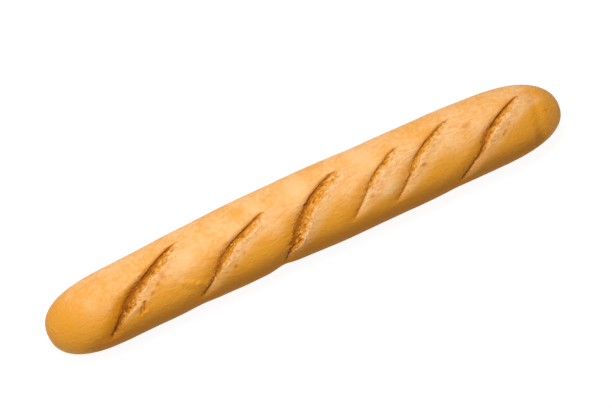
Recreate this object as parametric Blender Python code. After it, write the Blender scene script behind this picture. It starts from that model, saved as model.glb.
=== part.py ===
"""A baguette: one hand-shaped loaf, flat where it lay on the tray, with six slanting scores
that opened in the oven.

X runs along the loaf, from its blunt end to its slimmer one. +Z is up, and the loaf stands
on Z = 0. Places on the crust are given by x and by "over": the way over the crust from the
ridge, positive towards -Y. All sizes are in metres.
"""

from collections import namedtuple

import bmesh
import bpy
import numpy as np

# The loaf as a whole.
LENGTH = 0.500
HALF_WIDTH = 0.0365
CROWN = 0.0330  # from the widest level up to the ridge
KEEL = 0.0250  # from the widest level down to the tray
SOLE_HALF = 0.0200  # half the width of the flat strip that lay on the tray
KEEL_TURN = 1.10  # radians the keel turns through before the tray cuts it off
PRESS = 1.04  # how much deeper the dough would have hung without the tray
BLUNT_END = 0.070  # how far the rounding of each end reaches along the loaf
SLIM_END = 0.088
END_POWER = 2.6  # the two powers that set how square the ends are
END_ROOT = 2.3

# Hand shaping: (share of the half length, size). The corners between them are rounded off.
SIDE_DRIFT = (
    (-1.0, -0.0031), (-0.8, -0.0031), (-0.5, -0.0006), (-0.1, 0.0009),
    (0.3, -0.0008), (0.6, -0.0011), (0.88, -0.0034), (1.0, -0.0060),
)
GIRTH_CHANGE = (
    (-1.0, 0.94), (-0.75, 0.92), (-0.5, 0.955), (-0.25, 1.01), (-0.12, 0.985), (0.05, 1.022),
    (0.25, 1.0), (0.5, 0.99), (0.75, 0.955), (0.9, 0.98), (1.0, 0.99),
)
SHAPING_BLUR = 0.07

# A score: the line of its lip on the crust as (x, over) from its far end to its near end, how
# wide it gapes, the share of its run by which it has closed to a crease, and its depth.
Score = namedtuple("Score", "line gape closes depth")
SCORES = (
    Score(
        ((-0.119, -0.0225), (-0.139, -0.014), (-0.169, 0.003), (-0.1765, 0.010), (-0.1835, 0.019),
         (-0.2022, 0.042)),
        0.0098, 0.90, 0.0034,
    ),
    Score(
        ((-0.0375, -0.011), (-0.067, 0.0), (-0.080, 0.006), (-0.089, 0.0155), (-0.0975, 0.026),
         (-0.1155, 0.0445)),
        0.0080, 0.80, 0.0027,
    ),
    Score(
        ((0.036, -0.0187), (0.014, -0.0105), (-0.007, 0.005), (-0.015, 0.0145), (-0.0212, 0.027),
         (-0.0345, 0.049)),
        0.0110, 0.94, 0.0032,
    ),
    Score(
        ((0.094, -0.016), (0.066, -0.001), (0.0575, 0.007), (0.0515, 0.0155), (0.0442, 0.022),
         (0.0338, 0.033)),
        0.0068, 0.68, 0.0018,
    ),
    Score(
        ((0.1455, -0.0205), (0.119, -0.0085), (0.105, 0.0005), (0.094, 0.0165), (0.0845, 0.0255),
         (0.075, 0.035)),
        0.0066, 0.77, 0.0021,
    ),
    Score(
        ((0.2125, -0.017), (0.1845, -0.002), (0.171, 0.009), (0.163, 0.023), (0.152, 0.031),
         (0.1355, 0.0475)),
        0.0068, 0.70, 0.0027,
    ),
)
LIP_BLUR = 0.004  # the corners between the places on a lip's line are rounded off over this
RUN_ON = 0.004  # how far the line of a lip runs on past its ends
CLOSING = 0.32  # the share of its run over which a score closes
EAR_RISE = 0.0006  # the lip stands up where the score gapes
EAR_REACH = 0.0045
SHOULDER_DROP = 1.0  # and rolls down by this share of its depth where the score closes
SHOULDER_REACH = 0.0140
BANK_SHARE = 0.42  # how wide the far bank of the crease is rounded, as a share of the gape
BANK_REACH = 0.0050  # and beyond that share
FOOT_RISE = 0.60  # how much of its depth the floor has won back at the foot of the torn bank
CREST_RISE = 0.0009
CREST_REACH = 0.0060
CREASE_GAPE = 0.0010

# The mesh: columns beside each lip by their distance from it along X, and the shares of the
# ends. Rows are counted for the stretches between the sole, the scored crown and the sole.
WALL = 0.0003
BEFORE_LIP = (0.0140, 0.0080, 0.0040, 0.0015, WALL)
AFTER_LIP = (WALL, 0.0035, 0.0070, 0.0105, 0.0140, 0.0180, 0.0235, 0.0310)
MOST_OF_GAP = 0.62
BETWEEN = 1
BLUNT_COLUMNS = 11
SLIM_COLUMNS = 9
CROWN_FROM, CROWN_TO = -0.034, 0.056
ROWS = (3, 9, 24, 6, 3)

CRUST_COLOUR = (0.78, 0.46, 0.18, 1.0)


def smooth(t):
    """0 below 0, 1 above 1, and an even turn between."""
    t = np.clip(t, 0.0, 1.0)
    return t * t * (3.0 - 2.0 * t)


def shaped(stations, share):
    """The size at this share of the half length, with the corners between stations rounded."""
    places, sizes = np.array(stations).T
    shifts = np.linspace(-SHAPING_BLUR, SHAPING_BLUR, 9)
    return np.mean([np.interp(share + shift, places, sizes) for shift in shifts], axis=0)


def end_rounding(x):
    """1 along the middle, falling to 0 at both tips."""
    room = np.where(x < 0, (x + LENGTH / 2) / BLUNT_END, (LENGTH / 2 - x) / SLIM_END)
    return (1.0 - (1.0 - np.clip(room, 0.0, 1.0)) ** END_POWER) ** (1.0 / END_ROOT)


def section():
    """The loaf's outline from ridge to sole: the way over the crust, the side and the rise."""
    turn = np.linspace(0.0, np.pi / 2, 300)
    crown = np.stack([HALF_WIDTH * np.sin(turn), CROWN * np.cos(turn)])
    turn = np.linspace(0.0, KEEL_TURN, 300)[1:]
    inward = (1.0 - np.cos(turn)) / (1.0 - np.cos(KEEL_TURN))
    keel = np.stack([
        HALF_WIDTH - (HALF_WIDTH - SOLE_HALF) * inward,
        -KEEL * np.sin(turn) / np.sin(KEEL_TURN),
    ])
    sole = np.array([[0.0], [-KEEL]])
    side, rise = np.concatenate([crown, keel, sole], axis=1)
    steps = np.hypot(np.diff(side), np.diff(rise))
    return np.concatenate([[0.0], np.cumsum(steps)]), side, rise


OVER, SIDE, RISE = section()
HALF_GIRTH = OVER[-1]


def crust(x, over):
    """The point of the unscored crust at x and over. The sole is a straight, flat strip."""
    rounding = end_rounding(x)
    share = x / (LENGTH / 2)
    girth = shaped(GIRTH_CHANGE, share)
    side = np.interp(np.abs(over), OVER, SIDE) * rounding
    rise = np.interp(np.abs(over), OVER, RISE) * rounding
    rise = np.where(rise > 0.0, rise * (1.0 + girth) / 2.0, np.maximum(rise * PRESS, -KEEL))
    upper = 1.0 - smooth((-rise / KEEL - 0.6) / 0.4)
    y = shaped(SIDE_DRIFT, share) * upper - np.sign(over) * side * (1.0 + (girth - 1.0) * upper)
    return np.stack([x + 0.0 * over, y, KEEL + rise], axis=-1)


def outward(x, over):
    """The unscored crust's outward direction at x and over."""
    step = 0.0005
    along = crust(x + step, over) - crust(x - step, over)
    across = crust(x, over + step) - crust(x, over - step)
    normal = np.cross(across, along)
    return normal / np.maximum(np.linalg.norm(normal, axis=-1, keepdims=True), 1e-9)


def lip_x(score, over):
    """Where a score's lip crosses this place, running out to a straight ring at the sole."""
    places, overs = np.array(score.line).T
    rates = np.diff(places) / np.diff(overs)
    places = np.array([places[0] - rates[0] * RUN_ON, *places, places[-1] + rates[-1] * RUN_ON])
    overs = np.array([overs[0] - RUN_ON, *overs, overs[-1] + RUN_ON])
    shifts = np.linspace(-LIP_BLUR, LIP_BLUR, 9)
    lip = np.mean([np.interp(over + shift, overs, places) for shift in shifts], axis=0)
    middle = (places[0] + places[-1]) / 2
    hold = 1.0 - smooth((overs[0] - over) / (HALF_GIRTH + overs[0]))
    hold *= 1.0 - smooth((over - overs[-1]) / (HALF_GIRTH - overs[-1]))
    return middle + (lip - middle) * hold


def way_down(score, over):
    """How far down its run a score is at this place: 0 at its far end, 1 at its near end."""
    stops = np.linspace(score.line[0][1], score.line[-1][1], 200)
    steps = np.hypot(np.diff(lip_x(score, stops)), np.diff(stops))
    run = np.concatenate([[0.0], np.cumsum(steps)])
    beyond = np.minimum(over - stops[0], 0.0) + np.maximum(over - stops[-1], 0.0)
    return (np.interp(over, stops, run) + beyond) / run[-1]


def score_relief(score, x, over, after):
    """How far a score lifts the crust, or lowers it. after says which side of the lip it is."""
    step = 0.0002
    lip = lip_x(score, over)
    slant = (lip_x(score, over + step) - lip_x(score, over - step)) / (2 * step)
    away = np.abs(x - lip) / np.sqrt(1.0 + slant**2)
    t = way_down(score, over)
    opened = smooth(t / 0.08 + 0.25) * smooth((1.0 - t) / 0.14)
    rolling = smooth((t - 0.12) / 0.50)
    closing = smooth((t - score.closes + CLOSING) / CLOSING)
    gape = (0.2 + 0.8 * smooth(t / 0.32)) * (1.0 - closing)
    gape = CREASE_GAPE + (score.gape - CREASE_GAPE) * gape
    share = away / gape
    floor = score.depth * (1.0 - FOOT_RISE * np.clip(share, 0.0, 1.0))
    floor *= 1.0 - smooth((share - 0.84) / 0.24)
    bank = np.maximum(1.0 - away / (BANK_SHARE * score.gape + BANK_REACH), 0.0) ** 2
    past = away - 1.08 * gape
    crest = CREST_RISE * np.exp(-((past / np.where(past < 0.0, 0.0010, CREST_REACH)) ** 2))
    drop = SHOULDER_DROP * score.depth
    opened_side = (crest - floor) * (1.0 - closing) - (drop + 0.0002) * bank * closing
    rolled = np.maximum(1.0 - away / SHOULDER_REACH, 0.0) ** 2
    ear = EAR_RISE * np.exp(-((away / EAR_REACH) ** 2))
    lip_side = ear * (1.0 - rolling) - drop * rolling * rolled
    return opened * np.where(after, opened_side, lip_side)


def row_places():
    """The way over the crust of each row, once round the loaf."""
    edge = HALF_GIRTH - SOLE_HALF
    marks = (-HALF_GIRTH, -edge, CROWN_FROM, CROWN_TO, edge, HALF_GIRTH)
    parts = [np.linspace(a, b, n, endpoint=False) for a, b, n in zip(marks, marks[1:], ROWS)]
    return np.concatenate(parts)


def columns(over):
    """(x, after) of each column of the mesh, where after says past which scores it lies."""
    lips = [lip_x(score, over) for score in SCORES]
    tips = [np.full_like(over, -LENGTH / 2), np.full_like(over, LENGTH / 2)]
    edges = [tips[0], *lips, tips[1]]
    found = []
    previous = None
    for number, lip in enumerate(lips, start=1):
        before, after = lip - edges[number - 1], edges[number + 1] - lip
        left = [lip - WALL - (p - WALL) * np.minimum(1.0, MOST_OF_GAP * before / 0.03) for p in BEFORE_LIP]
        right = [
            lip + WALL + (p - WALL) * np.minimum(1.0, MOST_OF_GAP * after / AFTER_LIP[-1])
            for p in AFTER_LIP
        ]
        if previous is not None:
            for share in np.linspace(0.0, 1.0, BETWEEN + 2)[1:-1]:
                found.append((previous + (left[0] - previous) * share, number - 1))
        else:
            shares = np.linspace(0.0, 1.0, BLUNT_COLUMNS + 1)[1:-1] ** 2.2
            found += [(tips[0] + (left[0] - tips[0]) * share, 0) for share in shares]
        found += [(x, number - 1) for x in left]
        found += [(x, number) for x in right]
        previous = right[-1]
    shares = 1.0 - np.linspace(1.0, 0.0, SLIM_COLUMNS + 1)[1:-1] ** 2.2
    found += [(previous + (tips[1] - previous) * share, len(lips)) for share in shares]
    return found


def loaf_rings():
    """The rings of points of the scored crust, from the blunt end to the slim end."""
    over = row_places()
    rings = []
    for x, passed in columns(over):
        relief = np.zeros_like(over)
        for number, score in enumerate(SCORES):
            relief += score_relief(score, x, over, number < passed)
        rings.append(crust(x, over) + outward(x, over) * relief[:, None])
    return rings


def crust_material():
    """Golden brown crust, dull."""
    material = bpy.data.materials.new("crust")
    material.use_nodes = True
    shader = material.node_tree.nodes["Principled BSDF"]
    shader.inputs["Base Color"].default_value = CRUST_COLOUR
    shader.inputs["Roughness"].default_value = 0.6
    shader.inputs["Metallic"].default_value = 0.0
    return material


def make_loaf():
    """The loaf as one closed solid: rings joined in turn, with a fan at each tip."""
    mesh = bmesh.new()
    rings = [[mesh.verts.new(point) for point in ring] for ring in loaf_rings()]
    for first, second in zip(rings, rings[1:]):
        for i, corner in enumerate(first):
            mesh.faces.new((corner, second[i], second[i - 1], first[i - 1]))
    drift = [shaped(SIDE_DRIFT, np.array(share)) for share in (-1.0, 1.0)]
    blunt_tip = mesh.verts.new((-LENGTH / 2, drift[0], KEEL))
    slim_tip = mesh.verts.new((LENGTH / 2, drift[1], KEEL))
    for i in range(len(rings[0])):
        mesh.faces.new((blunt_tip, rings[0][i], rings[0][i - 1]))
        mesh.faces.new((slim_tip, rings[-1][i - 1], rings[-1][i]))
    bmesh.ops.recalc_face_normals(mesh, faces=mesh.faces)
    data = bpy.data.meshes.new("loaf")
    mesh.to_mesh(data)
    mesh.free()
    data.shade_smooth()
    data.materials.append(crust_material())
    loaf = bpy.data.objects.new("loaf", data)
    bpy.context.scene.collection.objects.link(loaf)
    return loaf


def main():
    for old in list(bpy.data.objects):
        bpy.data.objects.remove(old)
    make_loaf()


main()
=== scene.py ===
"""A golden baguette with six torn scores, the crumbs that cling in them, and a plain white stage.

Laid out as an add-on and run as a script. X runs along the loaf and +Z is up. Places on the
crust are given by x and by "over": the way over the crust from the ridge, positive towards -Y.
All sizes are in metres.
"""

import math
from collections import namedtuple

import bpy
import numpy as np
from bpy.props import FloatProperty, FloatVectorProperty, IntProperty, PointerProperty
from mathutils import Matrix, Vector, noise


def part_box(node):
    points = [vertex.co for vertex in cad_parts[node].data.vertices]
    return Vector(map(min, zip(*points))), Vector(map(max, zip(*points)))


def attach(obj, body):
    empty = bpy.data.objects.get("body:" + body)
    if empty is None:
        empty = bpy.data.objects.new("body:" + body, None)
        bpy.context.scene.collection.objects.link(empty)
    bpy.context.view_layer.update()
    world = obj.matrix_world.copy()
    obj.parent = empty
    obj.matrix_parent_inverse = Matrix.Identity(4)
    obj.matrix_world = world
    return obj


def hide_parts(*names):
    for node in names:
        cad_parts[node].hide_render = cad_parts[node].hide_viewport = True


bl_info = {
    "name": "Baguette",
    "version": (1, 0, 0),
    "blender": (4, 5, 0),
    "location": "View3D > Sidebar > Baguette",
    "description": "Shapes and bakes a scored baguette and sets it on a plain white stage",
    "category": "Add Mesh",
}

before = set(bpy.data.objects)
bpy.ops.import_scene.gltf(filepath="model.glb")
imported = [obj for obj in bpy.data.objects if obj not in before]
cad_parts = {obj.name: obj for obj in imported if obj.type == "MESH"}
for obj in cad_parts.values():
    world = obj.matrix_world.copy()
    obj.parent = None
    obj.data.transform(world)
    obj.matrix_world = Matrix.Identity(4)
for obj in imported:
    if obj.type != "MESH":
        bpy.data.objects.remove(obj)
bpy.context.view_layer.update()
LOAF_LOW, LOAF_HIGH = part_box("loaf")

# The loaf as a whole. The crown, keel and sole are the frame's own.
LENGTH = LOAF_HIGH.x - LOAF_LOW.x
HALF_WIDTH = 0.0365
CROWN = 0.0330
KEEL = 0.0250
SOLE_HALF = 0.0200
KEEL_TURN = 1.10
PRESS = 1.04
BLUNT_END = 0.070
SLIM_END = 0.088
END_POWER = 2.6
END_ROOT = 2.3

# Hand shaping: (share of the half length, size). The corners between them are rounded off.
SIDE_DRIFT = (
    (-1.0, -0.0031), (-0.8, -0.0031), (-0.5, -0.0006), (-0.1, 0.0009),
    (0.3, -0.0008), (0.6, -0.0011), (0.88, -0.0034), (1.0, -0.0060),
)
GIRTH_CHANGE = (
    (-1.0, 0.94), (-0.75, 0.92), (-0.5, 0.955), (-0.25, 1.01), (-0.12, 0.985), (0.05, 1.022),
    (0.25, 1.0), (0.5, 0.99), (0.75, 0.955), (0.9, 0.98), (1.0, 0.99),
)
SHAPING_BLUR = 0.07

# A score. Its line is where its lip lies on the crust, as (x, over) from its far end to its near
# end. It opens by gape, and has closed to a crease by the share closes of its run. Depth is how
# far its floor lies below the crust. The next three are how dark its hollow and lip are, partly
# browning and partly painted shade; how golden and dark the skin by its lip is, partly its own
# colour and partly painted shade; and how pale the skin drawn out beyond it is, partly thin skin
# and partly painted highlight. Ragged is how far its lip tore, and pinch is how far its near end
# draws in the loaf's flank.
Score = namedtuple("Score", "line gape closes depth browned warm pale ragged pinch")
SCORES = (
    Score(
        line=((-0.119, -0.0225), (-0.139, -0.014), (-0.169, 0.003), (-0.1765, 0.010),
              (-0.1835, 0.019), (-0.2022, 0.042)),
        gape=0.0098, closes=0.90, depth=0.0034,
        browned=1.2, warm=1.3, pale=0.55, ragged=0.8, pinch=0.0004,
    ),
    Score(
        line=((-0.0375, -0.011), (-0.067, 0.0), (-0.080, 0.006), (-0.089, 0.0155),
              (-0.0975, 0.026), (-0.1155, 0.0445)),
        gape=0.0080, closes=0.80, depth=0.0027,
        browned=0.80, warm=0.75, pale=0.9, ragged=1.1, pinch=0.0006,
    ),
    Score(
        line=((0.036, -0.0187), (0.014, -0.0105), (-0.007, 0.005), (-0.015, 0.0145),
              (-0.0212, 0.027), (-0.0345, 0.049)),
        gape=0.0110, closes=0.94, depth=0.0032,
        browned=0.9, warm=0.6, pale=0.6, ragged=1.4, pinch=0.0018,
    ),
    Score(
        line=((0.094, -0.016), (0.066, -0.001), (0.0575, 0.007), (0.0515, 0.0155),
              (0.0442, 0.022), (0.0338, 0.033)),
        gape=0.0068, closes=0.68, depth=0.0018,
        browned=0.40, warm=0.45, pale=1.0, ragged=0.8, pinch=0.0,
    ),
    Score(
        line=((0.1455, -0.0205), (0.119, -0.0085), (0.105, 0.0005), (0.094, 0.0165),
              (0.0845, 0.0255), (0.075, 0.035)),
        gape=0.0066, closes=0.77, depth=0.0021,
        browned=0.55, warm=0.55, pale=1.0, ragged=0.6, pinch=0.0,
    ),
    Score(
        line=((0.2125, -0.017), (0.1845, -0.002), (0.171, 0.009), (0.163, 0.023),
              (0.152, 0.031), (0.1355, 0.0475)),
        gape=0.0068, closes=0.70, depth=0.0027,
        browned=0.85, warm=0.85, pale=1.0, ragged=0.5, pinch=0.0004,
    ),
)

# The line of a lip: how far its corners are rounded, how far it runs on, and how ragged it is.
LIP_BLUR = 0.004
RUN_ON = 0.004
RAG = 0.0019
# How a score runs: the share of its run in which it closes, and its width as a crease.
CLOSING = 0.24
CREASE_GAPE = 0.0010
# The skin that rolls down to the lip, as shares of the score's depth and reaches across it. The
# shoulder reaches further low down where the skin by the lip is more golden and shaded, and the brow is its
# last and tightest part.
SHOULDER_DROP = 1.0
SHOULDER_REACH = 0.0140
SHOULDER_WIDENS = 0.007
BROW_DROP = 0.40
BROW_REACH = 0.0052
# The lip itself: the thin ear it lifts far up the score, its rounded edge and its crimps.
EAR_RISE = 0.0006
EAR_REACH = 0.0045
EDGE_TURN = 0.0004
EDGE_REACH = 0.0008
CRIMP_SIZE = 0.0026
CRIMP_RISE = 0.0012
CRIMP_REACH = 0.0036
UNDERCUT = 0.0009
UNDERCUT_REACH = 0.0010
PINCH_REACH = 0.0090
# The floor past the lip, the bank that ends it and the crest along the top of the bank.
LIP_STEP = 0.0002
FOOT_RISE = 0.60
FAR_DEPTH = 0.55
BANK_START = 0.84
BANK_WIDTH = 0.24
BANK_SHARE = 0.42
BANK_REACH = 0.0050
CREST_PLACE = 1.08
CREST_RISE = 0.0009
CREST_FOOT = 0.0010
CREST_REACH = 0.0060
# Torn crumb on the floor and fine bumps in the skin: the sizes of lumps and how high they rise.
STRAND_SIZE, STRAND_RISE = 0.0015, 0.00060
CLUMP_SIZE, CLUMP_RISE = 0.0032, 0.00110
GRAIN_SIZE, GRAIN_RISE = 0.0010, 0.00020
BUMP_SIZE, FINE_BUMP_SIZE = 0.0034, 0.0014
BUMP_RISE, ROUGH_RISE, ROUGH_REACH = 0.00010, 0.00034, 0.007
# How far from a score its colours reach.
# the pale drawn-out skin's reach, partly a painted highlight
DRAWN_AND_HIGHLIGHT_REACH = 0.0140
GOLD_SHADING_REACH = 0.0135
LOW_GOLD_SHADING_REACH = 0.0075
RIM_WIDTH = 0.0014

# Small marks left by the baking: (x, over, radius, depth), hollow where the depth is positive.
PITS = (
    (0.1598, -0.0057, 0.0030, 0.0005),
    (0.2323, 0.0105, 0.0020, 0.0005),
    (0.1873, 0.0152, 0.0015, 0.0010),
    (0.1900, 0.0128, 0.0013, 0.0008),
    (0.1953, 0.0085, 0.0018, 0.0005),
    (0.1113, 0.0108, 0.0018, 0.0008),
    (0.1258, -0.0007, 0.0018, 0.0005),
    (0.0585, 0.0173, 0.0017, 0.0006),
    (-0.0760, 0.0243, 0.0019, 0.0009),
    (-0.0648, 0.0163, 0.0018, 0.0006),
    (-0.0420, -0.0072, 0.0016, 0.0004),
    (0.0160, -0.0032, 0.0016, 0.0005),
    (-0.1510, 0.0137, 0.0018, 0.0010),
    (-0.1437, 0.0083, 0.0018, 0.0008),
    (-0.1372, 0.0035, 0.0022, 0.0007),
    (-0.1295, -0.0040, 0.0015, 0.0004),
    (-0.1185, -0.0158, 0.0018, 0.0006),
    (-0.1670, 0.0180, 0.0040, -0.0010),
    (-0.1235, 0.0160, 0.0024, -0.0006),
    (-0.1192, 0.0175, 0.0020, -0.0007),
    (-0.1165, 0.0205, 0.0022, -0.0006),
    (-0.1110, 0.0235, 0.0022, -0.0005),
    (-0.1215, 0.0205, 0.0018, -0.0005),
)
# Short tears in the skin: (x, over) at both ends, half width and depth. A negative depth is a ridge.
TEARS = (
    (-0.1230, 0.0175, -0.1045, 0.0285, 0.0028, -0.0008),
    (-0.1648, 0.0200, -0.1678, 0.0270, 0.0010, 0.0014),
    (-0.1605, 0.0172, -0.1628, 0.0238, 0.0013, 0.0020),
    (0.0082, 0.0033, 0.0215, -0.0005, 0.0009, 0.0008),
    (-0.0135, 0.0282, -0.0250, 0.0333, 0.0009, 0.0009),
)
# Where a fold rings the slim end, as (x, over), how deep and wide it is, and the swell beside it.
END_CREASE = ((0.227, -0.009), (0.2205, 0.018), (0.217, 0.038))
CREASE_DEPTH, CREASE_WIDTH = 0.0007, 0.0036
SWELL_RISE, SWELL_WIDTH, SWELL_PLACE = 0.0003, 0.0050, 0.008
# Broad painted highlights on the skin: (x, over, radius).
PAINTED_HIGHLIGHTS = (
    (-0.002, -0.019, 0.017),
    (0.060, -0.019, 0.015),
    (-0.113, -0.003, 0.013),
    (0.074, 0.015, 0.013),
)
# The skin's colour at both tips, on the same scale as the skin's toast and painted shade: 0 is pale, 1 is
# the toast colour and 2 is the colour of the flank.
TIP_TOAST = 0.85

# The mesh: columns beside each lip by their distance from it along X, and rows round the loaf.
WALL_COLUMNS = 8
WALL_STEP = 0.00002
MILLIMETRES = 1000.0  # in a metre
BEFORE_LIP = (14.0, 11.5, 9.5, 7.8, 6.3, 5.0, 3.9, 3.0, 2.2, 1.5, 0.9, 0.45, 0.15)  # millimetres
BEFORE_REACH = 0.032
AFTER_STEPS = 40
AFTER_REACH = 0.031
GAP_SHARE = 0.64
COLUMN_STEP = 0.00125
TIP_CROWDING = 1.5
CROWN_SPAN = (-0.050, 0.064)
ROW_COUNTS = (4, 12, 110, 9, 4)  # sole, flank, crown, flank, sole

# The crust's textures: how fine they are, in features to a metre, and how high the bumps rise.
BLOTCHES, MOTTLE, SPOTS, PATCHES = 38.0, 280.0, 230.0, 330.0
STRANDS, GRAINS, CLUMPS = 820.0, 1500.0, 330.0
WRINKLES, RIPPLES, CRIMPS = 330.0, 700.0, 620.0
WRINKLE_RISE, RIPPLE_RISE, FIBRE_RISE, FINE_CRIMP_RISE = 0.0020, 0.00055, 0.0007, 0.0030
CRUST_GLOSS = 0.12
# The flakes: how far their surfaces are pushed about, and the grain in them.
FLAKE_LUMPS, FLAKE_LUMP_SCALE = 0.0009, 900.0
FLAKE_GRAIN, FLAKE_GRAIN_RISE = 1800.0, 0.0002

# The stage.
FLOOR_REACH = 9.0
KEY_PLACE = (-0.13, 0.27, 1.11)
KEY_AIM = (0.0, 0.0, 0.03)
KEY_SIZE = (1.0, 0.45)
CAMERA_AIM = (0.0049, 0.0073, 0.025)
SENSOR_WIDTH = 36.0


def smooth(t):
    """0 below 0, 1 above 1, and an even turn between."""
    t = np.clip(t, 0.0, 1.0)
    return t * t * (3.0 - 2.0 * t)


def bell(away):
    """1 at 0, falling away evenly on both sides."""
    return np.exp(-(away**2))


def shaped(stations, share):
    """The size at this share of the half length, with the corners between stations rounded."""
    places, sizes = np.array(stations).T
    shifts = np.linspace(-SHAPING_BLUR, SHAPING_BLUR, 9)
    return np.mean([np.interp(share + shift, places, sizes) for shift in shifts], axis=0)


def wander(size, *coordinates, seed=0.0):
    """Even noise from -1 to 1 with lumps of about this size, one value for each place."""
    places = np.broadcast_arrays(*[np.asarray(c, float) for c in coordinates])
    while len(places) < 3:
        places = [*places, np.zeros_like(places[0])]
    flat = np.stack([p.ravel() for p in places], axis=-1) / size + seed * 17.31
    found = [noise.noise(place) for place in flat.tolist()]
    return np.array(found).reshape(places[0].shape)


def end_rounding(x):
    """1 along the middle, falling to 0 at both tips."""
    room = np.where(x < 0, (x + LENGTH / 2) / BLUNT_END, (LENGTH / 2 - x) / SLIM_END)
    return (1.0 - (1.0 - np.clip(room, 0.0, 1.0)) ** END_POWER) ** (1.0 / END_ROOT)


def section():
    """The loaf's outline from ridge to sole: the way over the crust, the side and the rise."""
    turn = np.linspace(0.0, np.pi / 2, 300)
    crown = np.stack([HALF_WIDTH * np.sin(turn), CROWN * np.cos(turn)])
    turn = np.linspace(0.0, KEEL_TURN, 300)[1:]
    inward = (1.0 - np.cos(turn)) / (1.0 - np.cos(KEEL_TURN))
    keel = np.stack([
        HALF_WIDTH - (HALF_WIDTH - SOLE_HALF) * inward,
        -KEEL * np.sin(turn) / np.sin(KEEL_TURN),
    ])
    sole = np.array([[0.0], [-KEEL]])
    side, rise = np.concatenate([crown, keel, sole], axis=1)
    steps = np.hypot(np.diff(side), np.diff(rise))
    return np.concatenate([[0.0], np.cumsum(steps)]), side, rise


OVER, SIDE, RISE = section()
HALF_GIRTH = OVER[-1]


def crust(x, over):
    """The point of the unscored crust at x and over. The sole is a straight, flat strip."""
    rounding = end_rounding(x)
    share = x / (LENGTH / 2)
    girth = shaped(GIRTH_CHANGE, share)
    side = np.interp(np.abs(over), OVER, SIDE) * rounding
    rise = np.interp(np.abs(over), OVER, RISE) * rounding
    rise = np.where(rise > 0.0, rise * (1.0 + girth) / 2.0, np.maximum(rise * PRESS, -KEEL))
    upper = 1.0 - smooth((-rise / KEEL - 0.6) / 0.4)
    y = shaped(SIDE_DRIFT, share) * upper - np.sign(over) * side * (1.0 + (girth - 1.0) * upper)
    return np.stack([x + 0.0 * over, y, KEEL + rise], axis=-1)


def outward(x, over):
    """The unscored crust's outward direction at x and over."""
    step = 0.0005
    along = crust(x + step, over) - crust(x - step, over)
    across = crust(x, over + step) - crust(x, over - step)
    normal = np.cross(across, along)
    return normal / np.maximum(np.linalg.norm(normal, axis=-1, keepdims=True), 1e-9)


def lip_line(score, over):
    """Where a score's smooth lip line crosses each row, settling to a ring at the sole."""
    places, overs = np.array(score.line).T
    rates = np.diff(places) / np.diff(overs)
    places = np.array([places[0] - rates[0] * RUN_ON, *places, places[-1] + rates[-1] * RUN_ON])
    overs = np.array([overs[0] - RUN_ON, *overs, overs[-1] + RUN_ON])
    shifts = np.linspace(-LIP_BLUR, LIP_BLUR, 9)
    lip = np.mean([np.interp(over + shift, overs, places) for shift in shifts], axis=0)
    middle = (places[0] + places[-1]) / 2
    hold = 1.0 - smooth((overs[0] - over) / (HALF_GIRTH + overs[0]))
    hold *= 1.0 - smooth((over - overs[-1]) / (HALF_GIRTH - overs[-1]))
    return middle + (lip - middle) * hold


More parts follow.
